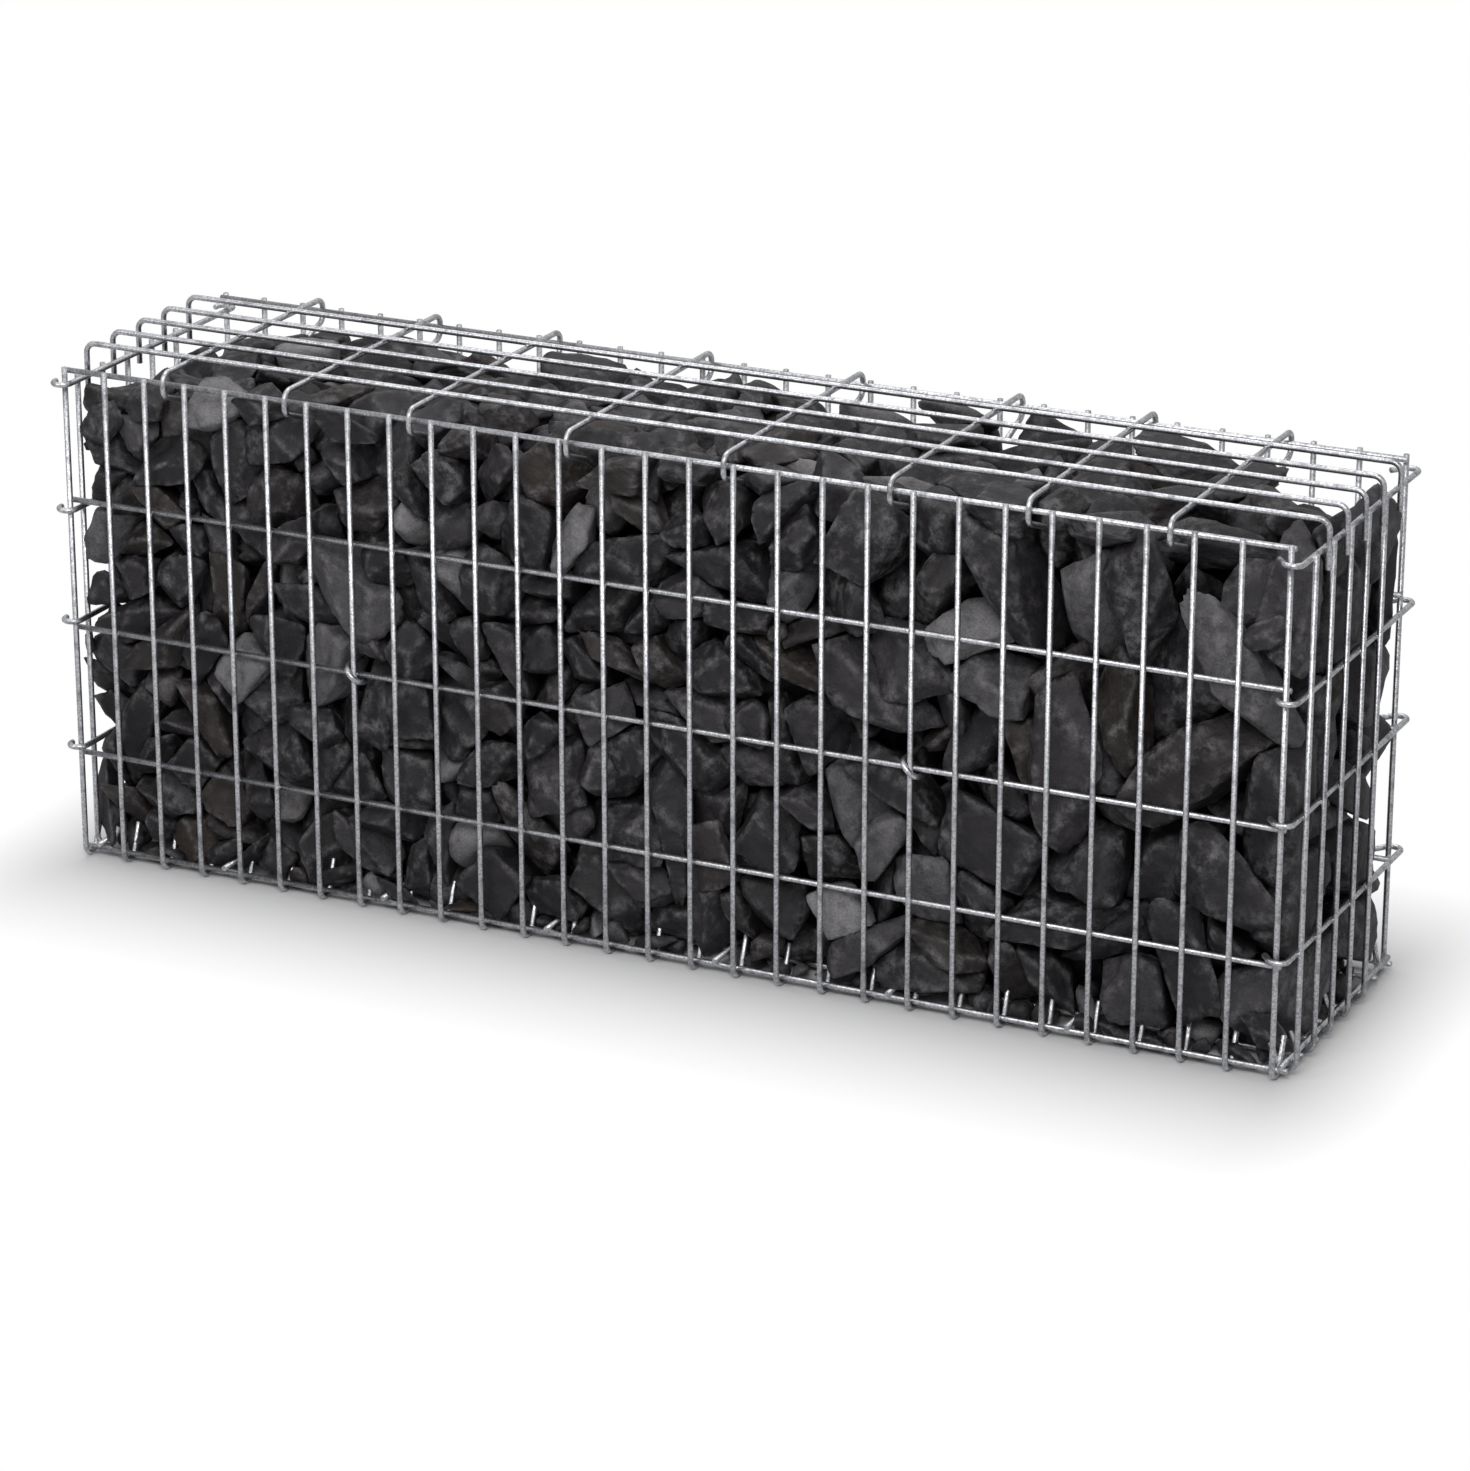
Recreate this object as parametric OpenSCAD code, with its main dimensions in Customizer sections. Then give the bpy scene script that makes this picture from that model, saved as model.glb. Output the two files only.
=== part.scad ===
// Gabion wall section: six hooked panels of welded wire, two ties and a rubble filling.
// Millimetres. X runs along the wall, its face looks towards -Y, the ground is Z = 0.

/* [Wire] */
// Diameter of every wire
wire_d = 4.5; // [3.5:0.1:6]
// Flat sides of a wire
wire_sides = 8; // [6:1:12]
// Depth that two crossing wires sink into each other at a weld
weld_sink = 0.9; // [0.4:0.1:1.4]
// Play between two wires that hook into each other
play = 0.3; // [0.1:0.1:0.8]
// Step in radius from a bend to the cut end after it
tail_step = 0.1; // [0.05:0.05:0.2]

/* [Face panels] */
// Spaces between the uprights of a face
face_gaps = 28; // [16:2:40]
// Spacing of the uprights of a face
upright_pitch = 36; // [28:1:60]
// Spacing of the rows of a face
row_pitch = 105; // [80:1:140]
// Number of rows below the top wire
face_rows = 3; // [2:1:4]
// Height of the lowest row above the base edge wire
foot_gap = 82; // [60:1:120]
// Distance between the uprights of the front and back faces
depth = 240; // [160:1:400]
// Length that an upright stands proud of the centre of its top wire
upright_tip = 3; // [2.5:0.1:8]

/* [Foot hooks] */
// Bend radius of the hooks under the uprights
foot_hook_r = 8; // [7:0.1:12]
// Inward lean of the tail of a foot hook, in degrees
foot_hook_lean = 20; // [10:1:30]
// Length of the tail of a face hook
face_tail = 22; // [10:1:30]
// Length of the tail of an end hook
end_tail = 14; // [8:1:24]

/* [End panels] */
// Uprights of an end panel
end_uprights = 5; // [3:1:7]
// Spacing of the uprights of an end panel
end_pitch = 36; // [24:1:50]
// Distance of the first end upright behind the front uprights
end_first = 16; // [12:1:60]
// Bend radius of the hooks round the corner uprights
corner_hook_r = 7; // [6:0.1:10]
// Turn of the left panel's corner hooks, in degrees
corner_turn = 180; // [150:1:180]
// Tail of the left panel's corner hooks
corner_tail = 2; // [1:0.1:4]
// Turn of the right panel's corner hooks, which are more open
open_turn = 140; // [130:1:150]
// Tail of the right panel's corner hooks
open_tail = 11; // [6:0.1:11.5]
// Drop of the end panel's top wire below the face's top wire
end_top_drop = 9.5; // [7:0.1:16]
// Drop of the end panel's next row below the face's row
end_row_drop = 6.5; // [6:0.1:16]
// Rise of the end panel's lower rows above the face's rows
end_row_rise = 7; // [6:0.1:16]

/* [Base panel] */
// Long wires of the base panel
base_long = 8; // [4:1:12]
// Face spaces between two cross wires of the base panel
base_cross_step = 4; // [2:1:6]
// Length that the base's long wires run past the left corner uprights
base_end = 4; // [3:0.1:10]
// Length that the base's wires reach past the other three sides of the filling
base_tip = 2.25; // [2:0.05:4]

/* [Lid panel] */
// Distance of a long wire behind its end upright, as a share of the end uprights' spacing
lid_lag = 0.7; // [0.3:0.01:0.8]
// Growth of that distance from one long wire to the next
lid_spread = 1.6; // [0:0.1:2]
// Rise of the lid's cross wires above the face's top wire
lid_rise = 9; // [8:0.1:14]
// Cross wires each side of the middle, in face spaces from the middle
lid_cross = [1.8, 5.5, 8.5, 11.5];
// Bend radius of the lid's wires
lid_bend_r = 8; // [7:0.1:12]
// Straight piece between the two bends of a lid hook
lid_hook_drop = 4; // [2:0.1:10]
// Angle of the second bend of a lid hook, in degrees
lid_hook_angle = 70; // [45:1:90]
// Tail of a lid hook
lid_tail = 27; // [4:0.5:30]
// Straight leg of a long wire below its bend
lid_leg = 28; // [16:1:40]

/* [Ties] */
// Bend radius of the hooks of a tie
tie_r = 8.5; // [7.6:0.1:12]
// Tail of a tie past its bend
tie_tail = 10; // [4:0.1:20]
// Upright that the left tie holds, counted from the middle
tie_left_at = -7; // [-12:1:-2]
// Upright that the right tie holds, counted from the middle
tie_right_at = 6; // [2:1:12]
// Row that the ties hold, counted down from the top wire
tie_row = 2; // [1:1:3]

/* [Stone filling] */
// Clearance between the filling and the wires
fill_clear = 0.4; // [0.2:0.1:2]
// Mean drop of the filling's top below the face's top wire
fill_drop = 14; // [8:1:40]
// Unevenness of the filling's top
fill_rough = 9; // [0:0.5:10]
// Drop of the filling's top at the left end
fill_slope = 34; // [0:1:60]
// Length of the sloping left end
fill_slope_l = 90; // [40:1:200]
// Strips of stones across the filling
fill_strips = 5; // [2:1:8]
// Steps of the filling's top along the wall
fill_steps = 24; // [8:1:40]

/* [Hidden] */
cross_off = wire_d - weld_sink;
hook_off = wire_d + play;
half_l = face_gaps / 2 * upright_pitch;
half_d = depth / 2;
base_z = wire_d / 2 + hook_off;
base_cross_z = base_z + cross_off;
base_edge_y = half_d - foot_hook_r;
top_z = base_z + foot_gap + face_rows * row_pitch;
face_hook_z = wire_d / 2 + foot_hook_r;
end_hook_z = base_cross_z - hook_off + foot_hook_r;
foot_turn = 180 - foot_hook_lean;
// The right end panel stands off the corner uprights in its open hooks, the left one bears on them
right_row_x = half_l + 2 * corner_hook_r - hook_off;
left_row_x = -half_l + hook_off;
right_upright_x = right_row_x + cross_off;
left_upright_x = left_row_x - cross_off;
right_base_x = right_upright_x - foot_hook_r;
left_base_x = left_upright_x + foot_hook_r;
lid_cross_z = top_z + lid_rise;
lid_long_z = lid_cross_z + cross_off;
// The lid's legs hang outside the right panel's rows, and outside the left panel's uprights
lid_right_x = right_row_x + hook_off;
lid_left_x = left_upright_x - hook_off;
// Middle of the whole basket, from the left row hooks to the right lid legs
mid_x = (lid_right_x + left_row_x - 2 * corner_hook_r) / 2;
lid_hook_y = half_d - cross_off + hook_off;
tie_z = top_z - tie_row * row_pitch;
fill_left = left_row_x + wire_d / 2 + fill_clear;
fill_right = right_row_x - wire_d / 2 - fill_clear;
fill_half = half_d - cross_off - wire_d / 2 - fill_clear;
fill_foot = base_cross_z + wire_d / 2 + fill_clear / 2;
slot_w = wire_d + 2 * fill_clear;

function face_x(i) = i * upright_pitch;
function end_y(i) = -half_d + end_first + i * end_pitch;
function base_y(i) = -base_edge_y + i * 2 * base_edge_y / (base_long - 1);
function lid_y(i) = end_y(i) + lid_lag * end_pitch + (i - (end_uprights - 1) / 2) * lid_spread;
function face_row_z(i) = top_z - i * row_pitch;
function end_row_z(i) = face_row_z(i) + (i == 0 ? -end_top_drop : i == 1 ? -end_row_drop : end_row_rise);
function hook_reach(tail) = foot_hook_r * (1 - cos(foot_turn)) + tail * sin(foot_hook_lean) + wire_d;
function hook_rise(z, tail) = z - foot_hook_r * sin(foot_turn) + tail * cos(foot_hook_lean) + wire_d / 2;
function fill_top(x, s) = top_z - fill_drop
    - fill_slope * pow(max(0, 1 - (x - fill_left) / fill_slope_l), 2)
    + fill_rough * (0.6 * sin(x * 1.7 + s * 131) + 0.4 * sin(x * 4.3 + s * 77));

// A straight piece of wire that runs up from the origin, with what follows at its end
module run(length) {
    cylinder(d = wire_d, h = length, $fn = wire_sides);
    translate([0, 0, length]) children();
}

// A bend that starts upwards at the origin and turns towards +X, with what follows at its end
module bend(r, angle) {
    translate([r, 0, 0]) rotate([90, 0, 180])
        rotate_extrude(angle = angle, $fn = 48) translate([r, 0]) circle(d = wire_d, $fn = wire_sides);
    translate([r, 0, 0]) rotate([0, angle, 0]) translate([-r, 0, 0]) children();
}

// The cut end of a wire after a bend, a hair thinner than the bend and set into it
module cut_end(length)
    translate([0, 0, -tail_step])
        cylinder(d = wire_d - 2 * tail_step, h = length + tail_step, $fn = wire_sides);

// An upright hung from its top, whose foot hook turns towards +X
module hooked_upright(top, hook_z, tail)
    translate([0, 0, top]) rotate([180, 0, 0])
        run(top - hook_z) bend(foot_hook_r, foot_turn) cut_end(tail);

// One long side: uprights outside, rows welded behind them
module face_panel() {
    for (i = [-face_gaps / 2 : face_gaps / 2])
        translate([face_x(i), 0, 0]) rotate([0, 0, 90])
            hooked_upright(top_z + upright_tip, face_hook_z, face_tail);
    for (i = [0 : face_rows])
        translate([-half_l - wire_d / 2, cross_off, face_row_z(i)]) rotate([0, 90, 0])
            run(2 * half_l + wire_d);
}

// One row of an end panel: a straight wire with a hook at each end, both turned towards -X
module end_row(x, z, turn, tail)
    for (s = [0, 1]) translate([x, 0, z]) mirror([0, s, 0]) rotate([90, 0, 0]) rotate([0, 0, 180])
        run(half_d) bend(corner_hook_r, turn) cut_end(tail);

// One short side; facing is 0 where the foot hooks turn towards +X and 180 towards -X
module end_panel(row_x, upright_x, facing, turn, tail) {
    for (i = [0 : face_rows]) end_row(row_x, end_row_z(i), turn, tail);
    for (i = [0 : end_uprights - 1])
        translate([upright_x, end_y(i), 0]) rotate([0, 0, facing])
            hooked_upright(end_row_z(0) + upright_tip, end_hook_z, end_tail);
}

// One cross wire of the lid, hooked over the top wires of both faces
module lid_cross_wire()
    for (a = [0, 180]) rotate([0, 0, a]) rotate([90, 0, 0]) rotate([0, 0, -90])
        run(lid_hook_y - lid_bend_r) bend(lid_bend_r, 90)
            run(lid_hook_drop) bend(lid_bend_r, lid_hook_angle) cut_end(lid_tail);

// One long wire of the lid, with a leg down each end panel
module lid_long_wire()
    for (half = [[0, lid_right_x], [180, -lid_left_x]]) rotate([0, 0, half[0]]) rotate([0, 90, 0])
        run(half[1] - lid_bend_r) bend(lid_bend_r, 90) run(lid_leg);

// A tie from face to face that wraps slantwise round a crossing of each
module tie(at) {
    reach = half_d - tie_r + hook_off;
    side = tie_r / sqrt(2);
    translate([face_x(at) + side, tie_tail - reach, tie_z - side]) rotate([90, 0, 0]) rotate([0, 0, 135])
        run(tie_tail) bend(tie_r, 180) run(2 * reach) bend(tie_r, 180) run(tie_tail);
}

// Room in the filling for one tie
module tie_channel(at) {
    side = tie_r / sqrt(2);
    translate([face_x(at) - side, 0, tie_z + side]) rotate([90, 0, 0])
        cylinder(d = slot_w, h = depth, center = true, $fn = wire_sides);
    for (s = [-1, 1])
        translate([face_x(at) + side, s * half_d, tie_z - side]) rotate([90, 0, 0])
            cylinder(d = slot_w, h = 2 * (tie_r + tie_tail), center = true, $fn = wire_sides);
}

// Room in the filling for the tails of all foot hooks
module hook_slots() {
    face_reach = hook_reach(face_tail);
    end_reach = hook_reach(end_tail);
    for (i = [-face_gaps / 2 : face_gaps / 2], s = [-1, 1])
        translate([face_x(i) - slot_w / 2, s < 0 ? -half_d : half_d - face_reach, 0])
            cube([slot_w, face_reach, hook_rise(face_hook_z, face_tail) + fill_clear]);
    for (i = [0 : end_uprights - 1], x = [left_upright_x, right_upright_x - end_reach])
        translate([x, end_y(i) - slot_w / 2, 0])
            cube([end_reach, slot_w, hook_rise(end_hook_z, end_tail) + fill_clear]);
}

// Room in the filling for the hooks of the lid
module lid_slots() {
    reach = lid_bend_r * (1 - cos(lid_hook_angle)) + lid_tail * sin(lid_hook_angle) + wire_d;
    foot = lid_cross_z - lid_hook_drop - 2 * lid_bend_r - lid_tail * cos(lid_hook_angle) - wire_d;
    for (c = lid_cross, s = [-1, 1], f = [-1, 1])
        translate([s * face_x(c) - slot_w / 2, f < 0 ? -half_d : half_d - reach, foot])
            cube([slot_w, reach, lid_long_z]);
}

// Room for the tails of the right panel's open corner hooks
module corner_slots() {
    back = right_row_x - corner_hook_r * (1 - cos(open_turn)) - open_tail * sin(open_turn) - wire_d;
    side = half_d + corner_hook_r * sin(open_turn) + open_tail * cos(open_turn) - wire_d;
    for (i = [0 : face_rows], f = [-1, 1])
        translate([back, f < 0 ? -half_d : side, end_row_z(i) - slot_w / 2])
            cube([right_row_x - back, half_d - side, slot_w]);
}

// One strip of the filling along the wall, with its own uneven top
module fill_strip(s) {
    strip_d = 2 * fill_half / fill_strips;
    step = (fill_right - fill_left) / fill_steps;
    outline = concat([[fill_right, fill_foot], [fill_left, fill_foot]],
                     [for (i = [0 : fill_steps]) [fill_left + i * step, fill_top(fill_left + i * step, s)]]);
    translate([0, -fill_half + (s + 1) * strip_d, 0]) rotate([90, 0, 0])
        linear_extrude(height = strip_d) polygon(outline);
}

module front_panel() color("LightGray") translate([-mid_x, -half_d, 0]) face_panel();

module back_panel() color("LightGray") translate([-mid_x, half_d, 0]) rotate([0, 0, 180]) face_panel();

module left_end_panel() color("Silver") translate([-mid_x, 0, 0])
    end_panel(left_row_x, left_upright_x, 0, corner_turn, corner_tail);

module right_end_panel() color("Silver") translate([-mid_x, 0, 0])
    end_panel(right_row_x, right_upright_x, 180, open_turn, open_tail);

module base_panel() color("DarkGray") translate([-mid_x, 0, 0]) {
    left = -half_l - base_end;
    right = fill_right + base_tip;
    side = fill_half + base_tip;
    for (i = [0 : base_long - 1])
        translate([left, base_y(i), base_z]) rotate([0, 90, 0]) run(right - left);
    for (x = concat([left_base_x, right_base_x],
                    [for (i = [base_cross_step - 0.5 : base_cross_step : face_gaps - 1]) face_x(i) - half_l]))
        translate([x, side, base_cross_z]) rotate([90, 0, 0]) run(2 * side);
}

module lid_panel() color("Gainsboro") translate([-mid_x, 0, 0]) {
    for (i = [0 : end_uprights - 1]) translate([0, lid_y(i), lid_long_z]) lid_long_wire();
    for (c = lid_cross, s = [-1, 1]) translate([s * face_x(c), 0, lid_cross_z]) lid_cross_wire();
}

module left_tie() color("LightSlateGray") translate([-mid_x, 0, 0]) tie(tie_left_at);

module right_tie() color("LightSlateGray") translate([-mid_x, 0, 0]) tie(tie_right_at);

module stone_fill() color("DimGray") translate([-mid_x, 0, 0]) difference() {
    union() for (s = [0 : fill_strips - 1]) fill_strip(s);
    hook_slots();
    lid_slots();
    corner_slots();
    tie_channel(tie_left_at);
    tie_channel(tie_right_at);
}

front_panel();
back_panel();
left_end_panel();
right_end_panel();
base_panel();
lid_panel();
left_tie();
right_tie();
stone_fill();
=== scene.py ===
"""Gabion wall: a hooked basket of welded galvanised wire, packed with dark broken basalt.

The wires are bent one by one along the same lines as the solids of the part. The stones are split from
blocks, tumbled into the basket as rigid bodies and joined into a few meshes. Metres throughout.
"""

from __future__ import annotations

import logging
import math
import random
from dataclasses import dataclass
from enum import Enum
from itertools import product

import bmesh
import bpy
import numpy as np
from mathutils import Euler, Matrix, Vector, noise

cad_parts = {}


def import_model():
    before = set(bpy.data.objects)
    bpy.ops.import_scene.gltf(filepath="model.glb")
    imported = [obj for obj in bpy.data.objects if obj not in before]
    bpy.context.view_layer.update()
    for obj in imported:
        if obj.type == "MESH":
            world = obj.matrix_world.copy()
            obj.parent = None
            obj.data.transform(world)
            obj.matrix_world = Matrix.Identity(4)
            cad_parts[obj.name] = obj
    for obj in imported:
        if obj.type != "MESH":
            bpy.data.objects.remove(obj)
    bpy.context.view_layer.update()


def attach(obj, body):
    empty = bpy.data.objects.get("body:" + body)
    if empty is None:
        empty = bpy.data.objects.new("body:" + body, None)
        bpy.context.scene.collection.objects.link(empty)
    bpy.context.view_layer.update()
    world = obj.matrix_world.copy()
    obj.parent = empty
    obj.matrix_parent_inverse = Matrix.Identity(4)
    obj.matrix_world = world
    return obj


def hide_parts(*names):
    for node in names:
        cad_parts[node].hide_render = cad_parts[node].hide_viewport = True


LOG = logging.getLogger("gabion")
MM = 0.001
BODY = "root"
UP = Vector((0, 0, 1))
ALONG = Vector((1, 0, 0))
ACROSS = Vector((0, 1, 0))
WHITE = (1, 1, 1, 1)
Ring = list[bmesh.types.BMEdge]
Span = tuple[float, float]
Triple = tuple[float, float, float]


def link(name: str, data: bpy.types.ID) -> bpy.types.Object:
    """Links a mesh, lamp or camera to the scene as an object.

    Args:
        name: Name of the object.
        data: The mesh, lamp or camera.

    Returns:
        The new object.
    """
    thing = bpy.data.objects.new(name, data)
    bpy.context.scene.collection.objects.link(thing)
    return thing


def meshed(name: str, bm: bmesh.types.BMesh) -> bpy.types.Mesh:
    """Turns an edited mesh into a kept one and frees it.

    Args:
        name: Name of the kept mesh.
        bm: The edited mesh.

    Returns:
        The kept mesh.
    """
    mesh = bpy.data.meshes.new(name)
    bm.to_mesh(mesh)
    bm.free()
    return mesh


class Side(Enum):
    """The four upright sides of the basket, as the direction that each one faces."""

    FRONT = (0, -1)
    BACK = (0, 1)
    LEFT = (-1, 0)
    RIGHT = (1, 0)

    @property
    def outward(self) -> Vector:
        """The direction that points out of the basket."""
        return Vector((*self.value, 0))


class Habit(Enum):
    """How a stone split, as its length, width and thickness against its nominal size."""

    BLOCK = (1.16, 1.00, 0.82)
    SLAB = (1.42, 1.04, 0.54)
    SPLINTER = (1.72, 0.80, 0.58)


@dataclass
class BasketSizes:
    """Sizes of the basket between its wires, with the places that follow from them."""

    wire_d: float = 4.5 * MM
    weld_sink: float = 0.9 * MM
    play: float = 0.3 * MM
    face_gaps: int = 28
    upright_pitch: float = 36 * MM
    row_pitch: float = 105 * MM
    face_rows: int = 3
    foot_gap: float = 82 * MM
    depth: float = 240 * MM
    upright_tip: float = 3 * MM
    foot_hook_r: float = 8 * MM
    foot_turn: float = math.radians(160)
    face_tail: float = 22 * MM
    end_tail: float = 14 * MM
    end_uprights: int = 5
    end_pitch: float = 36 * MM
    end_first: float = 16 * MM
    corner_hook_r: float = 7 * MM
    corner_turn: float = math.radians(180)
    corner_tail: float = 2 * MM
    open_turn: float = math.radians(140)
    open_tail: float = 11 * MM
    end_top_drop: float = 9.5 * MM
    end_row_drop: float = 6.5 * MM
    end_row_rise: float = 7 * MM
    base_long: int = 8
    base_cross_step: int = 4
    base_end: float = 4 * MM
    base_tip: float = 2.25 * MM
    lid_lag: float = 0.7
    lid_spread: float = 1.6 * MM
    lid_rise: float = 9 * MM
    lid_cross: tuple[float, ...] = (1.8, 5.5, 8.5, 11.5)
    lid_bend_r: float = 8 * MM
    lid_hook_drop: float = 4 * MM
    lid_hook_turn: float = math.radians(70)
    lid_tail: float = 27 * MM
    lid_leg: float = 28 * MM
    tie_r: float = 8.5 * MM
    tie_tail: float = 10 * MM
    tie_at: tuple[int, int] = (-7, 6)
    tie_row: int = 2
    fill_clear: float = 0.4 * MM
    fill_slope: float = 34 * MM
    fill_slope_l: float = 90 * MM

    def __post_init__(self) -> None:
        """Works out the places that follow from the sizes."""
        self.wire_r = self.wire_d / 2
        # Distance between two wires that are welded where they cross, and between two that hook together
        self.cross_off = self.wire_d - self.weld_sink
        self.hook_off = self.wire_d + self.play
        # Half the distance between the corner uprights of a face, and between the uprights of the two faces
        self.half_l = self.face_gaps / 2 * self.upright_pitch
        self.half_d = self.depth / 2
        # Offset of the whole basket's middle from the middle of the faces
        right_leg = self.half_l + 2 * self.corner_hook_r
        left_hook = -self.half_l + self.hook_off - 2 * self.corner_hook_r
        self.mid_x = (right_leg + left_hook) / 2
        # Heights of the base's long and cross wires, of the top wire of a face and of the lid's wires
        self.base_z = self.wire_r + self.hook_off
        self.base_cross_z = self.base_z + self.cross_off
        self.top_z = self.base_z + self.foot_gap + self.face_rows * self.row_pitch
        self.lid_cross_z = self.top_z + self.lid_rise
        self.lid_long_z = self.lid_cross_z + self.cross_off
        # The right end's rows stand off the corner uprights in their open hooks, the left end's bear on them
        self.right_row_x = self.half_l + 2 * self.corner_hook_r - self.hook_off - self.mid_x
        self.left_row_x = -self.half_l + self.hook_off - self.mid_x
        self.right_upright_x = self.right_row_x + self.cross_off
        self.left_upright_x = self.left_row_x - self.cross_off
        # Heights at which the foot hooks of a face and of an end start
        self.face_hook_z = self.wire_r + self.foot_hook_r
        self.end_hook_z = self.base_cross_z - self.hook_off + self.foot_hook_r
        # The room for stones reaches up to the rows of the faces and stands on the base's cross wires
        self.fill_half = self.half_d - self.cross_off - self.wire_r - self.fill_clear
        self.fill_foot = self.base_cross_z + self.wire_r

    def face_x(self, place: float) -> float:
        """Place along the wall, counted in upright spacings from the middle of the faces."""
        return place * self.upright_pitch - self.mid_x

    def end_y(self, index: int) -> float:
        """Place of an end upright, counted from the face."""
        return -self.half_d + self.end_first + index * self.end_pitch

    def lid_y(self, index: int) -> float:
        """Place of a long wire of the lid, a little behind its end upright."""
        lag = self.lid_lag * self.end_pitch
        return self.end_y(index) + lag + (index - (self.end_uprights - 1) / 2) * self.lid_spread

    def face_row_z(self, index: int) -> float:
        """Height of a row of a face, counted down from its top wire."""
        return self.top_z - index * self.row_pitch

    def end_row_z(self, index: int) -> float:
        """Height of a row of an end, which passes just over or under the face's row."""
        shift = (-self.end_top_drop, -self.end_row_drop)
        return self.face_row_z(index) + (shift[index] if index < len(shift) else self.end_row_rise)

    def fill_top(self, x: float) -> float:
        """Height that the highest stones reach, which falls away at the left end."""
        fall = max(0.0, 1 - (x - self.left_row_x) / self.fill_slope_l) ** 2
        return self.top_z - self.fill_slope * fall


def extruded(bm: bmesh.types.BMesh, ring: Ring) -> tuple[list[bmesh.types.BMVert], Ring]:
    """Extrudes a ring of edges without moving it yet.

    Args:
        bm: Mesh that holds the ring.
        ring: Edges to extrude.

    Returns:
        The vertices and the edges of the new ring.
    """
    grown = bmesh.ops.extrude_edge_only(bm, edges=ring)["geom"]
    verts = [item for item in grown if isinstance(item, bmesh.types.BMVert)]
    kept = set(verts)
    return verts, [e for e in grown if isinstance(e, bmesh.types.BMEdge) and kept.issuperset(e.verts)]


@dataclass
class Pose:
    """Where a wire has got to: its place, its heading and the side it bends towards."""

    place: Vector
    heading: Vector
    side: Vector

    def copy(self) -> Pose:
        """A pose that can be walked on without moving this one."""
        return Pose(self.place.copy(), self.heading.copy(), self.side.copy())

    def turned_back(self) -> Pose:
        """The same place, looking back along the wire."""
        return Pose(self.place.copy(), -self.heading, self.side.copy())


@dataclass(frozen=True)
class Run:
    """A straight length of wire."""

    length: float

    def walk(self, pose: Pose) -> None:
        """Moves the pose to the end of the run."""
        pose.place += pose.heading * self.length

    def draw(self, bm: bmesh.types.BMesh, pose: Pose, ring: Ring) -> Ring:
        """Draws the run from a ring of edges.

        Args:
            bm: Mesh that holds the wire.
            pose: Pose at the start, which is moved to the end.
            ring: Edges of the wire's section at the start.

        Returns:
            The edges of the section at the end.
        """
        verts, ring = extruded(bm, ring)
        bmesh.ops.translate(bm, vec=pose.heading * self.length, verts=verts)
        self.walk(pose)
        return ring


@dataclass(frozen=True)
class Bend:
    """A bend of a wire towards its side."""

    radius: float
    angle: float

    def turn(self, pose: Pose) -> tuple[Vector, Vector]:
        """The centre and the axis of the bend."""
        return pose.place + pose.side * self.radius, pose.heading.cross(pose.side)

    def walk(self, pose: Pose) -> None:
        """Moves the pose to the end of the bend.

        Args:
            pose: Pose at the start, which is moved to the end.
        """
        centre, axis = self.turn(pose)
        rotation = Matrix.Rotation(self.angle, 3, axis)
        pose.place = centre + rotation @ (pose.place - centre)
        pose.heading = rotation @ pose.heading
        pose.side = rotation @ pose.side

    def draw(self, bm: bmesh.types.BMesh, pose: Pose, ring: Ring) -> Ring:
        """Spins the bend from a ring of edges.

        Args:
            bm: Mesh that holds the wire.
            pose: Pose at the start, which is moved to the end.
            ring: Edges of the wire's section at the start.

        Returns:
            The edges of the section at the end.
        """
        centre, axis = self.turn(pose)
        steps = max(WireShop.least_steps, round(self.angle / WireShop.bend_step))
        spun = bmesh.ops.spin(bm, geom=ring, cent=centre, axis=axis, angle=self.angle, steps=steps)
        self.walk(pose)
        return [e for e in spun["geom_last"] if isinstance(e, bmesh.types.BMEdge)]


Move = Run | Bend


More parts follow.
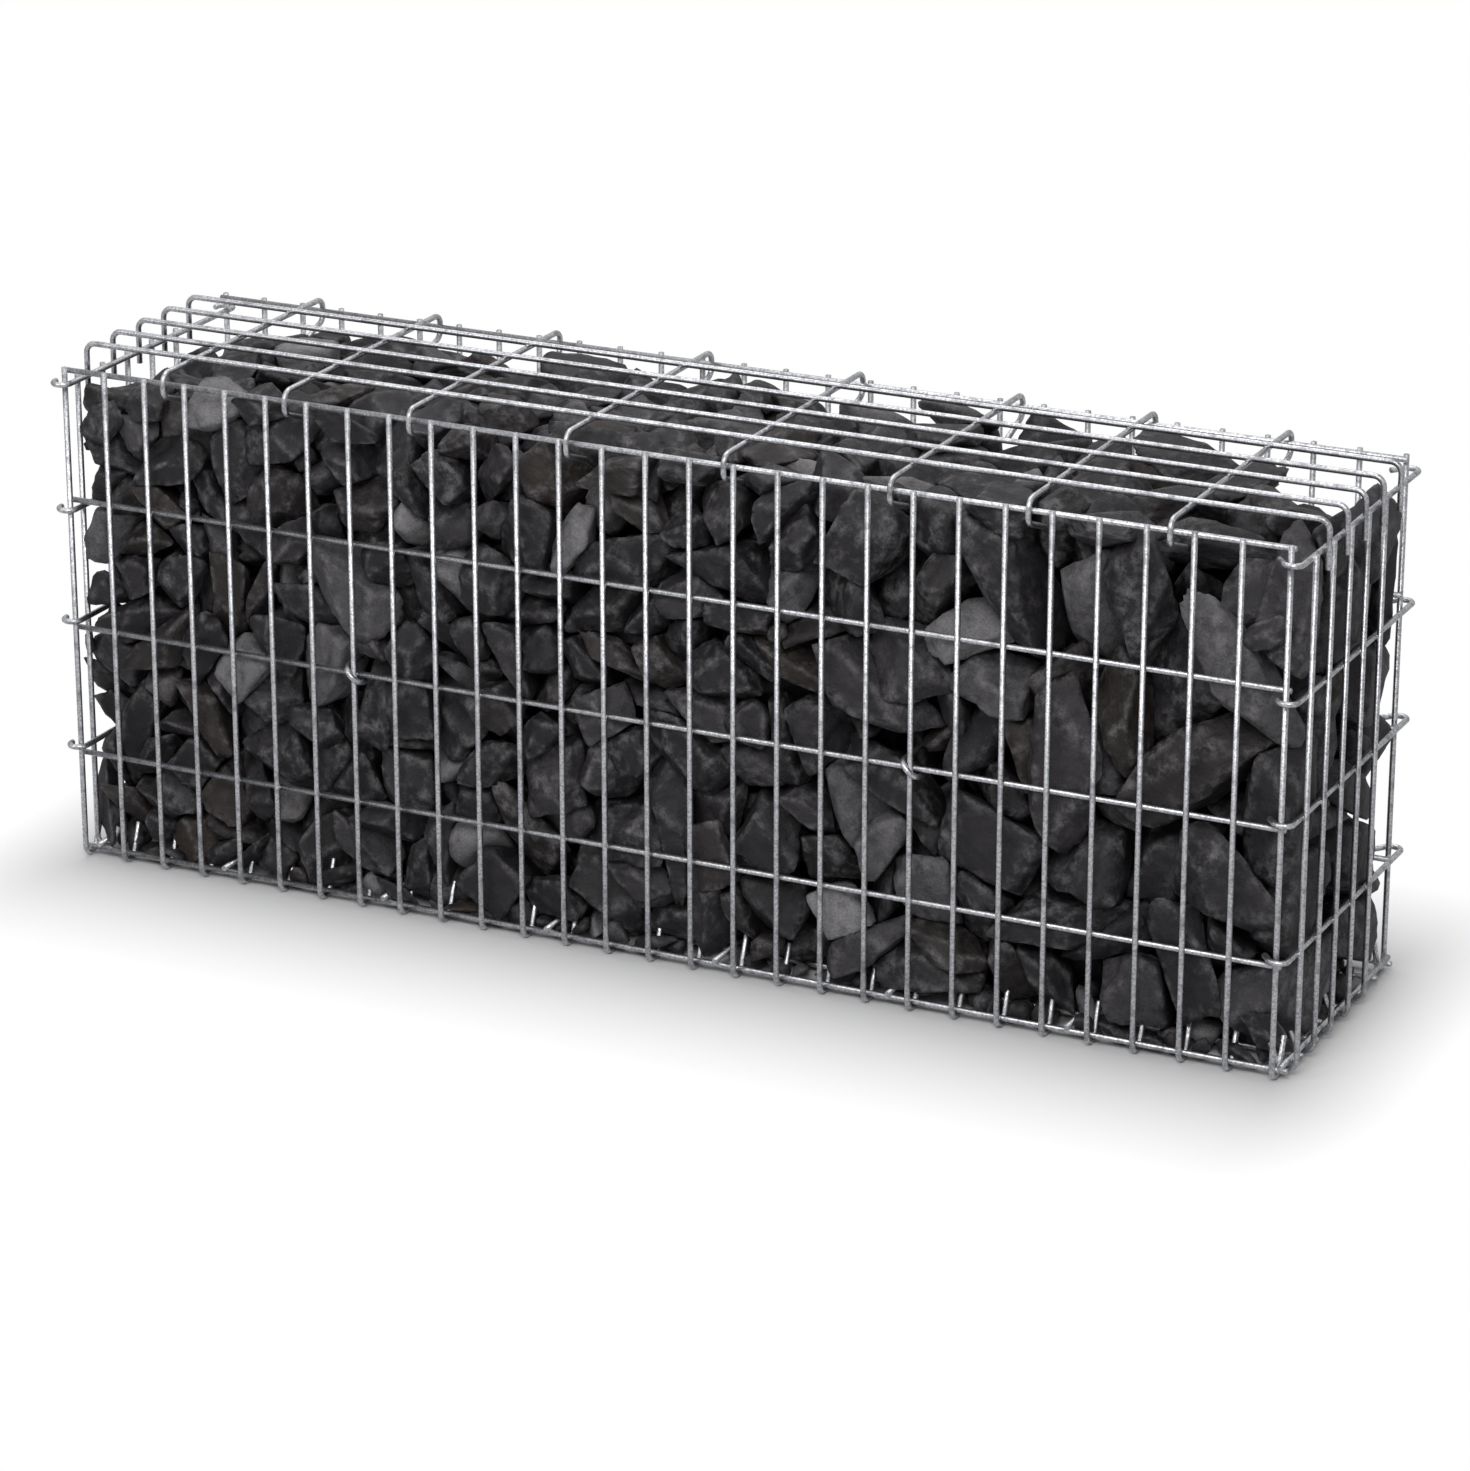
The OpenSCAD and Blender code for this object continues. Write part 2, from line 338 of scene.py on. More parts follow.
@dataclass
class WireShop:
    """Draws, welds and finishes the wires of one panel in one mesh."""

    sizes: BasketSizes
    sides: int = 12
    bend_step: float = math.radians(15)
    least_steps: int = 3
    cut_chamfer: float = 0.5 * MM
    bead_share: float = 0.98
    bead_flat: Triple = (1.18, 1.18, 0.72)

    def __post_init__(self) -> None:
        """Starts with an empty mesh and no centrelines."""
        self.bm = bmesh.new()
        self.lines: list[list[Vector]] = []

    def wire(self, start: Pose, moves: list[Move]) -> None:
        """Draws one wire with cut ends and keeps its centreline.

        Args:
            start: Pose at the first cut end.
            moves: Runs and bends from there to the other end.
        """
        pose = start.copy()
        radius = self.sizes.wire_r
        inner = (radius - self.cut_chamfer) / radius
        place = Matrix.Translation(pose.place) @ pose.heading.to_track_quat("Z", "Y").to_matrix().to_4x4()
        made = bmesh.ops.create_circle(
            self.bm, cap_ends=True, segments=self.sides, radius=radius * inner, matrix=place)
        ring = list(dict.fromkeys(edge for vert in made["verts"] for edge in vert.link_edges))
        ring = self.flare(ring, pose, 1 / inner)
        for move in moves:
            ring = move.draw(self.bm, pose, ring)
        ring = self.flare(ring, pose, inner)
        bmesh.ops.edgeloop_fill(self.bm, edges=ring)
        self.lines.append(self.centreline(start, moves))

    def flare(self, ring: Ring, pose: Pose, share: float) -> Ring:
        """Grows the rim of a cut end: flat out to the wire's full width, or back in as a chamfer.

        Args:
            ring: Edges of the section at the start.
            pose: Pose at the start, which stays.
            share: Width of the new section against the old one.

        Returns:
            The edges of the new section.
        """
        verts, ring = extruded(self.bm, ring)
        lift = pose.heading * (self.cut_chamfer if share < 1 else 0)
        bmesh.ops.scale(self.bm, vec=(share,) * 3, space=Matrix.Translation(-pose.place), verts=verts)
        bmesh.ops.translate(self.bm, vec=lift, verts=verts)
        return ring

    @staticmethod
    def centreline(start: Pose, moves: list[Move], bend_steps: int = 3) -> list[Vector]:
        """Points along the middle of a wire.

        Args:
            start: Pose at the first end.
            moves: Runs and bends of the wire.
            bend_steps: Straight pieces that stand for one bend.

        Returns:
            The ends of the straight pieces, in order.
        """
        pose = start.copy()
        points = [pose.place.copy()]
        for move in moves:
            pieces = [move]
            if isinstance(move, Bend):
                pieces = [Bend(move.radius, move.angle / bend_steps)] * bend_steps
            for piece in pieces:
                piece.walk(pose)
                points.append(pose.place.copy())
        return points

    def joined_wire(self, middle: Pose, before: list[Move], after: list[Move]) -> None:
        """Draws a wire from its middle outwards, as one piece.

        Args:
            middle: Pose at a point on the wire that looks along the second half.
            before: Runs and bends from there back to the first end.
            after: Runs and bends from there on to the other end.
        """
        pose = middle.turned_back()
        for move in before:
            move.walk(pose)
        self.wire(pose.turned_back(), [*reversed(before), *after])

    def weld(self, place: Vector, across: Vector) -> None:
        """Adds the bead of metal that a weld squeezes out between two crossing wires.

        Args:
            place: Point halfway between the two wires.
            across: Direction from one wire to the other.
        """
        radius = self.sizes.wire_r * self.bead_share
        turn = across.to_track_quat("Z", "Y").to_matrix().to_4x4()
        flat = Matrix.Diagonal((*self.bead_flat, 1))
        bmesh.ops.create_icosphere(
            self.bm, subdivisions=1, radius=radius, matrix=Matrix.Translation(place) @ turn @ flat)

    def finish(self, name: str, node: str, material: bpy.types.Material) -> None:
        """Turns the panel's mesh into a piece that stands for its solid.

        Args:
            name: Name of the piece.
            node: Solid of the part that the piece stands for.
            material: Finish of the wires.
        """
        bmesh.ops.recalc_face_normals(self.bm, faces=self.bm.faces)
        # The sides of wires and the beads are smooth, cut ends are flat
        for face in self.bm.faces:
            face.smooth = len(face.verts) <= 4
        mesh = meshed(name, self.bm)
        mesh.materials.append(material)
        add_piece(name, mesh, node)


def add_piece(name: str, mesh: bpy.types.Mesh, node: str) -> None:
    """Adds a finished mesh to the scene as a piece of the part.

    Args:
        name: Name of the piece.
        mesh: Its finished mesh.
        node: Solid of the part that the piece stands for.
    """
    piece = link(name, mesh)
    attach(piece, BODY)
    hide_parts(node)
    LOG.info("%s: %d vertices, %d faces", name, len(mesh.vertices), len(mesh.polygons))


@dataclass
class Basket:
    """The six welded panels and the two ties."""

    sizes: BasketSizes
    finish: bpy.types.Material

    def __post_init__(self) -> None:
        """Starts with no lines and no pockets for the stones to keep clear of."""
        self.obstacles: list[list[Vector]] = []
        self.pockets: list[list[Vector]] = []

    def build(self) -> None:
        """Builds every panel and both ties."""
        for side, node in ((Side.FRONT, "front_panel"), (Side.BACK, "back_panel")):
            self.face(side, node)
        for side, node in ((Side.LEFT, "left_end_panel"), (Side.RIGHT, "right_end_panel")):
            self.end(side, node)
        self.base()
        self.lid()
        for place, node in zip(self.sizes.tie_at, ("left_tie", "right_tie")):
            self.tie(place, node)

    def hooked_upright(self, shop: WireShop, top: Vector, inward: Vector, hook_z: float, tail: float) -> None:
        """Draws an upright with a hook under its foot.

        Args:
            shop: Panel that the upright belongs to.
            top: Upper cut end.
            inward: Direction that the hook turns towards.
            hook_z: Height at which the hook starts.
            tail: Straight length after the hook.
        """
        s = self.sizes
        shop.wire(Pose(top, -UP, inward), [Run(top.z - hook_z), Bend(s.foot_hook_r, s.foot_turn), Run(tail)])

    def face(self, side: Side, node: str) -> None:
        """Builds one long side: uprights outside, rows welded behind them.

        Args:
            side: Front or back.
            node: Solid that the panel stands for.
        """
        s = self.sizes
        shop = WireShop(s)
        out = side.outward
        rows = [s.face_row_z(i) for i in range(s.face_rows + 1)]
        for i in range(s.face_gaps + 1):
            x = s.face_x(i - s.face_gaps / 2)
            top = ALONG * x + out * s.half_d + UP * (s.top_z + s.upright_tip)
            self.hooked_upright(shop, top, -out, s.face_hook_z, s.face_tail)
            for z in rows:
                shop.weld(ALONG * x + out * (s.half_d - s.cross_off / 2) + UP * z, out)
        for z in rows:
            start = ALONG * (s.face_x(-s.face_gaps / 2) - s.wire_r) + out * (s.half_d - s.cross_off) + UP * z
            shop.wire(Pose(start, ALONG, UP), [Run(2 * s.half_l + s.wire_d)])
        shop.finish(node.replace("panel", "wires"), node, self.finish)

    def end(self, side: Side, node: str) -> None:
        """Builds one short side, whose rows hook round the corner uprights.

        Args:
            side: Left or right.
            node: Solid that the panel stands for.
        """
        s = self.sizes
        shop = WireShop(s)
        right = side is Side.RIGHT
        row_x, upright_x, turn, tail = (
            (s.right_row_x, s.right_upright_x, s.open_turn, s.open_tail) if right
            else (s.left_row_x, s.left_upright_x, s.corner_turn, s.corner_tail))
        rows = [s.end_row_z(i) for i in range(s.face_rows + 1)]
        hook = [Run(s.half_d), Bend(s.corner_hook_r, turn), Run(tail)]
        for z in rows:
            shop.joined_wire(Pose(Vector((row_x, 0, z)), ACROSS, -ALONG), hook, hook)
            if not right:
                self.obstacles.append(shop.lines[-1])
        for i in range(s.end_uprights):
            y = s.end_y(i)
            top = Vector((upright_x, y, rows[0] + s.upright_tip))
            self.hooked_upright(shop, top, -side.outward, s.end_hook_z, s.end_tail)
            # Only the straight part of an upright holds stones back
            if not right:
                self.obstacles.append(shop.lines[-1][:2])
            for z in rows:
                shop.weld(Vector(((row_x + upright_x) / 2, y, z)), ALONG)
        shop.finish(node.replace("panel", "wires"), node, self.finish)

    def base(self) -> None:
        """Builds the flat panel under the stones."""
        s = self.sizes
        shop = WireShop(s)
        left = s.face_x(-s.face_gaps / 2) - s.base_end
        right = s.right_row_x - s.wire_r - s.fill_clear + s.base_tip
        side = s.fill_half + s.base_tip
        edge = s.half_d - s.foot_hook_r
        long_y = [-edge + i * 2 * edge / (s.base_long - 1) for i in range(s.base_long)]
        steps = range(s.base_cross_step, s.face_gaps, s.base_cross_step)
        cross_x = [s.left_upright_x + s.foot_hook_r, s.right_upright_x - s.foot_hook_r,
                   *(s.face_x(i - 0.5 - s.face_gaps / 2) for i in steps)]
        for y in long_y:
            shop.wire(Pose(Vector((left, y, s.base_z)), ALONG, UP), [Run(right - left)])
        for x in cross_x:
            shop.wire(Pose(Vector((x, -side, s.base_cross_z)), ACROSS, UP), [Run(2 * side)])
            for y in long_y:
                shop.weld(Vector((x, y, (s.base_z + s.base_cross_z) / 2)), UP)
        self.obstacles += shop.lines
        shop.finish("base_wires", "base_panel", self.finish)

    def lid(self) -> None:
        """Builds the lid: long wires with legs down the ends, cross wires hooked over the faces."""
        s = self.sizes
        shop = WireShop(s)
        long_y = [s.lid_y(i) for i in range(s.end_uprights)]
        leg = [Bend(s.lid_bend_r, math.pi / 2), Run(s.lid_leg)]
        left = -(s.left_upright_x - s.hook_off) - s.lid_bend_r
        right = s.right_row_x + s.hook_off - s.lid_bend_r
        for y in long_y:
            middle = Pose(Vector((0, y, s.lid_long_z)), ALONG, -UP)
            shop.joined_wire(middle, [Run(left), *leg], [Run(right), *leg])
        reach = s.half_d - s.cross_off + s.hook_off - s.lid_bend_r
        hook = [Run(reach), Bend(s.lid_bend_r, math.pi / 2), Run(s.lid_hook_drop),
                Bend(s.lid_bend_r, s.lid_hook_turn), Run(s.lid_tail)]
        for place in (sign * step for step in s.lid_cross for sign in (-1, 1)):
            x = s.face_x(place)
            shop.joined_wire(Pose(Vector((x, 0, s.lid_cross_z)), ACROSS, -UP), hook, hook)
            # Stones keep clear of each tail and most of the bend next to it, and of a pocket over the tail
            line = shop.lines[-1]
            self.obstacles += [line[:4], line[-4:]]
            self.pockets += [line[:2], line[-2:]]
            for y in long_y:
                shop.weld(Vector((x, y, (s.lid_cross_z + s.lid_long_z) / 2)), UP)
        shop.finish("lid_wires", "lid_panel", self.finish)

    def tie(self, place: int, node: str) -> None:
        """Builds one tie from face to face, wrapped slantwise round a crossing of each.

        Args:
            place: Upright that the tie holds, counted from the middle.
            node: Solid that the tie stands for.
        """
        s = self.sizes
        shop = WireShop(s)
        reach = s.half_d - s.tie_r + s.hook_off
        slant = s.tie_r / math.sqrt(2)
        start = Vector((s.face_x(place) + slant, s.tie_tail - reach, s.face_row_z(s.tie_row) - slant))
        hook = [Bend(s.tie_r, math.pi)]
        shop.wire(Pose(start, -ACROSS, (UP - ALONG).normalized()),
                  [Run(s.tie_tail), *hook, Run(2 * reach), *hook, Run(s.tie_tail)])
        self.obstacles.append(shop.lines[-1])
        shop.finish(f"{node}_wire", node, self.finish)


@dataclass
class Stone:
    """One stone: its rough hull, its look and the place where it came to rest."""

    hull: bpy.types.Mesh
    shape: Vector
    tone: float
    warmth: float
    sharpness: float
    rest: Matrix


HungStones = list[tuple[bpy.types.Object, Stone]]


@dataclass
class Quarry:
    """Splits stones from blocks."""

    seed: int = 20
    cuts: tuple[int, int] = (6, 10)
    cut_depth: Span = (0.29, 0.50)
    cut_merge: float = 1e-5
    block_turn: Span = (0, 3)
    habit_odds: Triple = (4, 3, 3)
    habit_vary: Span = (0.9, 1.1)
    sharpness: Span = (16, 42)

    def __post_init__(self) -> None:
        """Seeds the draws."""
        self.rng = random.Random(self.seed)

    def direction(self) -> Vector:
        """A direction drawn evenly from all round."""
        return Vector([self.rng.gauss(0, 1) for _ in range(3)]).normalized()

    def stone(self, size: float) -> Stone:
        """Splits one stone from a block along flat planes.

        Args:
            size: Nominal size of the stone.

        Returns:
            A stone with a hull of a few flat faces, about the origin.
        """
        rng = self.rng
        bm = bmesh.new()
        bmesh.ops.create_cube(bm, size=1.0)
        turn = Euler([rng.uniform(*self.block_turn) for _ in range(3)]).to_matrix()
        bmesh.ops.rotate(bm, cent=(0, 0, 0), matrix=turn, verts=bm.verts)
        for _ in range(rng.randint(*self.cuts)):
            facing = self.direction()
            bmesh.ops.bisect_plane(bm, geom=[*bm.verts, *bm.edges, *bm.faces], dist=self.cut_merge,
                                   plane_co=facing * rng.uniform(*self.cut_depth), plane_no=facing,
                                   clear_outer=True)
            bmesh.ops.holes_fill(bm, edges=[edge for edge in bm.edges if edge.is_boundary], sides=0)
        habit = rng.choices(list(Habit), weights=self.habit_odds)[0]
        shape = Vector([size * share * rng.uniform(*self.habit_vary) for share in habit.value])
        bmesh.ops.scale(bm, vec=shape, verts=bm.verts)
        mesh = meshed("stone_hull", bm)
        return Stone(mesh, shape, rng.random(), rng.random(), rng.uniform(*self.sharpness), Matrix())


@dataclass
class Tumble:
    """Fills the basket by letting stones fall into it as rigid bodies, then clears the room."""

    sizes: BasketSizes
    quarry: Quarry
    obstacles: list[list[Vector]]
    pockets: list[list[Vector]]
    scale: float = 10.0
    frames: int = 46
    substeps: int = 5
    heap: float = 2.05
    wall: float = 0.2
    wall_rise: float = 2.5
    lean: Triple = (-1.4, 0.0, -9.81)
    stone_grip: float = 0.35
    wire_grip: float = 0.25
    damping: Span = (0.15, 0.3)
    margin: float = 0.4 * MM
    small: float = 41 * MM
    coarse_right: float = 19 * MM
    coarse_span: Span = (-0.05, 0.40)
    fine_left: float = 6 * MM
    fine_span: Span = (-0.38, -0.5)
    hang_at: float = 0.6
    jitter: float = 0.06
    size_spread: Triple = (0.72, 1.34, 0.98)
    chip_share: float = 0.4
    chip_spread: Span = (0.30, 0.56)
    bed_chip: float = 23 * MM
    bed_spread: Span = (0.6, 1.1)
    bed_rim: float = 50 * MM
    pocket: float = 15 * MM
    left_bulge: float = 9 * MM
    top_over: float = 5 * MM
    top_uneven: float = 16 * MM
    thinnest: float = 20 * MM

    def spacing(self, x: float) -> float:
        """Spacing of the stones before they fall, which is larger where the stones are larger.

        Args:
            x: Place along the wall.

        Returns:
            The spacing there.
        """
        def ease(start: float, stop: float) -> float:
            """Rises softly from 0 at the start to 1 at the stop."""
            share = min(1.0, max(0.0, (x - start) / (stop - start)))
            return share * share * (3 - 2 * share)
        coarse = self.small + self.coarse_right * ease(*self.coarse_span)
        return coarse - self.fine_left * ease(*self.fine_span)

    @property
    def room(self) -> tuple[Vector, Vector]:
        """The room that stones may fill.

        Returns:
            Its lowest and its highest corner.
        """
        s = self.sizes
        left = s.left_upright_x - s.wire_r - self.left_bulge
        right = s.right_row_x - s.wire_r - s.fill_clear
        return Vector((left, -s.fill_half, s.wire_r)), Vector((right, s.fill_half, s.lid_long_z))

    def fill(self) -> list[Stone]:
        """Lets the stones fall and keeps those that lie under the lid.

        Returns:
            The stones where they came to rest.
        """
        scene = bpy.context.scene
        upright = scene.gravity.copy()
        scene.gravity = self.lean
        bpy.ops.rigidbody.world_add()
        world = scene.rigidbody_world
        world.substeps_per_frame = self.substeps
        world.point_cache.frame_end = self.frames + 1
        stones = self.drop()
        self.make_rigid([body for body, _ in stones], "ACTIVE", self.stone_grip)
        fixed = self.walls() + self.bars() + self.plugs()
        self.make_rigid(fixed, "PASSIVE", self.wire_grip)
        for frame in range(1, self.frames + 1):
            scene.frame_set(frame)
        for body, stone in stones:
            place, turn, _ = body.matrix_world.decompose()
            stone.rest = Matrix.Translation(place / self.scale) @ turn.to_matrix().to_4x4()
        bpy.ops.rigidbody.world_remove()
        scene.gravity = upright
        scene.frame_set(1)
        for body in [*fixed, *(body for body, _ in stones)]:
            bpy.data.objects.remove(body)
        kept = [stone for _, stone in stones if self.presses_in(stone) and self.stays_in(stone)]
        LOG.info("stones: %d dropped, %d kept", len(stones), len(kept))
        return kept

    def drop(self) -> HungStones:
        """Hangs the stones over the basket, loosely and at random angles.

        Returns:
            Pairs of a rigid body and its stone.
        """
        rng = self.quarry.rng
        low, high = self.room
        foot = self.sizes.fill_foot + self.bed_chip
        pairs = self.bed()
        x = low.x + self.left_bulge
        while x < high.x - self.small / 2:
            gap = self.spacing(x)
            count = int((high.y - low.y) / gap)
            layers = int(self.heap * (high.z - low.z) / gap)
            for layer, index in product(range(layers), range(count)):
                place = Vector((x + gap / 2, low.y + (index + 0.5) * (high.y - low.y) / count,
                                foot + (layer + self.hang_at) * gap))
                place += Vector([rng.uniform(-self.jitter, self.jitter) * gap for _ in range(3)])
                place.x = min(place.x, high.x - gap / 2)
                pairs.append(self.hang(place, gap * rng.triangular(*self.size_spread)))
                if index and rng.random() < self.chip_share:
                    between = place - ACROSS * (high.y - low.y) / count / 2 + UP * gap / 2
                    pairs.append(self.hang(between, gap * rng.uniform(*self.chip_spread)))
            x += gap
        return pairs

    def bed(self) -> HungStones:
        """Strews chips on the base along its four sides, where they show between its wires.

        Returns:
            Pairs of a rigid body and its stone.
        """
        rng = self.quarry.rng
        low, high = self.room
        low = low + ALONG * self.left_bulge
        span = high - low
        rows, columns = (int(length / self.bed_chip) for length in (span.y, span.x))
        pairs = []
        for row, column in product(range(rows), range(columns)):
            x, y = (column + 0.5) * span.x / columns, (row + 0.5) * span.y / rows
            if min(x, y, span.x - x, span.y - y) < self.bed_rim:
                place = Vector((low.x + x, low.y + y, self.sizes.fill_foot + self.bed_chip / 2))
                pairs.append(self.hang(place, self.bed_chip * rng.uniform(*self.bed_spread)))
        return pairs

    def hang(self, place: Vector, size: float) -> tuple[bpy.types.Object, Stone]:
        """Makes one stone and its rigid body.

        Args:
            place: Where it hangs.
            size: Its nominal size.

        Returns:
            The rigid body and the stone.
        """
        rng = self.quarry.rng
        stone = self.quarry.stone(size)
        mesh = stone.hull.copy()
        mesh.transform(Matrix.Scale(self.scale, 4))
        body = link("stone_body", mesh)
        body.location = place * self.scale
        body.rotation_euler = Euler([rng.uniform(0, 2 * math.pi) for _ in range(3)])
        return body, stone

    def make_rigid(self, bodies: list[bpy.types.Object], kind: str, friction: float) -> None:
        """Adds objects to the rigid body world.

        Args:
            bodies: Objects to add.
            kind: ACTIVE for what falls, PASSIVE for what stays.
            friction: Friction of their surface.
        """
        bpy.context.view_layer.update()
        bpy.ops.object.select_all(action="DESELECT")
        for body in bodies:
            body.select_set(True)
        bpy.context.view_layer.objects.active = bodies[0]
        bpy.ops.rigidbody.objects_add(type=kind)
        for body in bodies:
            rigid = body.rigid_body
            rigid.collision_shape = "CONVEX_HULL"
            rigid.use_margin = True
            rigid.collision_margin = self.margin * self.scale
            rigid.friction = friction
            rigid.linear_damping, rigid.angular_damping = self.damping

    def walls(self) -> list[bpy.types.Object]:
        """Puts a floor and four walls round the room, as thick blocks outside it.

        Returns:
            The five fixed bodies.
        """
        low, high = self.room
        thick = self.wall
        top = low.z + self.wall_rise * (high.z - low.z)
        spans = [
            ((low.x - thick, low.y - thick, low.z - thick), (high.x + thick, high.y + thick, low.z)),
            ((low.x - thick, low.y - thick, low.z), (high.x + thick, low.y, top)),
            ((low.x - thick, high.y, low.z), (high.x + thick, high.y + thick, top)),
            ((low.x - thick, low.y, low.z), (low.x, high.y, top)),
            ((high.x, low.y, low.z), (high.x + thick, high.y, top)),
        ]
        return [self.solid([Vector(corner) for corner in product(*zip(a, b))]) for a, b in spans]

    def bars(self) -> list[bpy.types.Object]:
        """Bars along the wires that stand in the room, so that the stones lie round them."""
        pairs = [pair for line in self.obstacles for pair in zip(line, line[1:])]
        return [self.bar(a, b) for a, b in pairs if (a - b).length > self.margin]

    def bar(self, start: Vector, stop: Vector) -> bpy.types.Object:
        """Makes a square bar of a wire's thickness.

        Args:
            start: Middle of its first end.
            stop: Middle of its other end.

        Returns:
            The fixed body.
        """
        along = (stop - start).normalized()
        side = along.orthogonal().normalized() * self.sizes.wire_r
        corners = [side, along.cross(side), -side, -along.cross(side)]
        return self.solid([end + corner for end in (start, stop) for corner in corners])

    def plugs(self) -> list[bpy.types.Object]:
        """Plugs the pockets over the tails of the lid's hooks, so that they stay open and the tails show.

        Returns:
            One fixed body for each tail.
        """
        half, rise = self.pocket / 2, self.sizes.lid_leg
        around = [ALONG * x + UP * z for x in (-half, half) for z in (0, rise)]
        return [self.solid([end + step for end in tail for step in around]) for tail in self.pockets]

    def solid(self, corners: list[Vector]) -> bpy.types.Object:
        """Makes a fixed body.

        Args:
            corners: Its corners, in any order.

        Returns:
            The body, at the size that the stones fall at.
        """
        bm = bmesh.new()
        for corner in corners:
            bm.verts.new(corner * self.scale)
        bmesh.ops.convex_hull(bm, input=bm.verts)
        return link("fixed", meshed("fixed", bm))

    def stays_in(self, stone: Stone) -> bool:
        """False for a chip that has slid out among the foot hooks of the left end."""
        place = stone.rest.translation
        return place.z > self.sizes.end_hook_z or place.x > self.sizes.left_upright_x + self.sizes.foot_hook_r

    def presses_in(self, stone: Stone) -> bool:
        """Presses a stone that stands too high flatter, as if it had been picked to fit under the lid.

        Args:
            stone: Stone where it came to rest, whose place is changed.

        Returns:
            False if the stone lies on top of the heap, above the lid.
        """
        heights = [(stone.rest @ vert.co).z for vert in stone.hull.vertices]
        low, top = min(heights), max(heights)
        drop = self.quarry.rng.uniform(-self.top_over, self.top_uneven - self.top_over)
        limit = self.sizes.fill_top(stone.rest.translation.x) - drop
        if low > limit - self.thinnest:
            return False
        if top > limit:
            press = Matrix.Diagonal((1, 1, (limit - low) / (top - low), 1))
            stone.rest = Matrix.Translation(UP * low) @ press @ Matrix.Translation(-UP * low) @ stone.rest
        return True


@dataclass
class StoneFill:
    """Dresses the stones and joins them into a few meshes."""

    sizes: BasketSizes
    finish: bpy.types.Material
    seed: int = 5
    sections: int = 6
    first_row: float = 32 * MM
    second_row: float = 75 * MM
    chip_sizes: Span = (36 * MM, 27 * MM)
    levels: tuple[int, int, int] = (2, 3, 4)
    grow: float = 1.04
    swell: float = 0.10
    swell_rate: float = 1.7
    dent: float = 0.035
    dent_rate: float = 5
    chip: float = 0.012
    chip_rate: float = 13
    # Where the paler edge colour starts: partly scuffing, partly a painted highlight
    edge_wear_and_highlight_from: float = 0.80
    grain_spread: Span = (-5, 5)
    spot_step: float = 100

    def __post_init__(self) -> None:
        """Makes the round blanks that the stones are shaped from, coarse to fine."""
        self.blanks = {level: self.blank(level) for level in self.levels}

    @staticmethod
    def blank(level: int) -> bpy.types.Mesh:
        """Makes a ball of even triangles.

        Args:
            level: How often the triangles are split.

        Returns:
            The ball's mesh.
        """
        bm = bmesh.new()
        bmesh.ops.create_icosphere(bm, subdivisions=level, radius=1.0)
        for face in bm.faces:
            face.smooth = True
        return meshed("blank", bm)

    def build(self, stones: list[Stone]) -> None:
        """Joins the stones into one mesh for each section of the wall's length.

        Args:
            stones: Stones where they came to rest.
        """
        ordered = sorted(stones, key=lambda stone: stone.rest.translation.x)
        share = math.ceil(len(ordered) / self.sections)
        for section in range(self.sections):
            chosen = ordered[section * share:(section + 1) * share]
            self.join(f"stones_{section + 1}", chosen, random.Random(self.seed + section))
        for mesh in self.blanks.values():
            bpy.data.meshes.remove(mesh)

    def join(self, name: str, stones: list[Stone], rng: random.Random) -> None:
        """Dresses some stones and joins them into one piece.

        Args:
            name: Name of the piece.
            stones: The stones of that piece.
            rng: Draws for the place of each stone's grain.
        """
        joined = bmesh.new()
        looks: list[np.ndarray] = []
        grain: list[np.ndarray] = []
        for stone in stones:
            mesh = self.blanks[self.level(stone)].copy()
            skin, edge_wear_and_highlight_mask = self.skin(stone, mesh)
            offset = np.array([rng.uniform(*self.grain_spread) for _ in range(3)])
            grain.append(skin + offset)
            same = np.tile([stone.tone, stone.warmth], (len(edge_wear_and_highlight_mask), 1))
            looks.append(np.column_stack([same, edge_wear_and_highlight_mask]))
            mesh.vertices.foreach_set("co", skin.ravel())
            mesh.transform(stone.rest)
            joined.from_mesh(mesh)
            bpy.data.meshes.remove(mesh)
        mesh = meshed(name, joined)
        for label, values in (("grain_place", grain), ("stone_look", looks)):
            layer = mesh.attributes.new(label, "FLOAT_VECTOR", "POINT")
            layer.data.foreach_set("vector", np.concatenate(values).ravel())
        mesh.materials.append(self.finish)
        add_piece(name, mesh, "stone_fill")

    def skin(self, stone: Stone, blank: bpy.types.Mesh) -> tuple[np.ndarray, np.ndarray]:
        """Shapes a round blank to a stone's hull, with edges rounded off by knocks and an uneven surface.

        Args:
            stone: The stone, with its flat-faced hull.
            blank: Ball to shape.

        Returns:
            The new places of the ball's vertices, and how near each lies to an edge, from 0 to 1.
        """
        rays = np.empty(len(blank.vertices) * 3)
        blank.vertices.foreach_get("co", rays)
        rays = rays.reshape(-1, 3) * np.array(stone.shape)
        rays /= np.linalg.norm(rays, axis=1, keepdims=True)
        normals = np.array([face.normal for face in stone.hull.polygons])
        depths = np.array([face.normal.dot(face.center) for face in stone.hull.polygons])
        near = np.clip(rays @ (normals / depths[:, None]).T, 0, None)
        reach = (near ** stone.sharpness).sum(axis=1) ** (-1 / stone.sharpness)
        # Nearness to an edge, where the stone is painted paler: partly scuffing, partly a painted highlight
        second, first = np.sort(near, axis=1)[:, -2:].T
        edge_wear_and_highlight_mask = np.clip((second / first - self.edge_wear_and_highlight_from) / (1 - self.edge_wear_and_highlight_from), 0, 1)
        spot = Vector((stone.tone, stone.warmth, stone.sharpness)) * self.spot_step
        uneven = [self.grow + self.swell * noise.noise(ray * self.swell_rate + spot)
                  + self.dent * noise.noise(ray * self.dent_rate - spot)
                  + self.chip * noise.noise(ray * self.chip_rate + spot) for ray in map(Vector, rays)]
        return rays * (reach * np.array(uneven))[:, None], edge_wear_and_highlight_mask

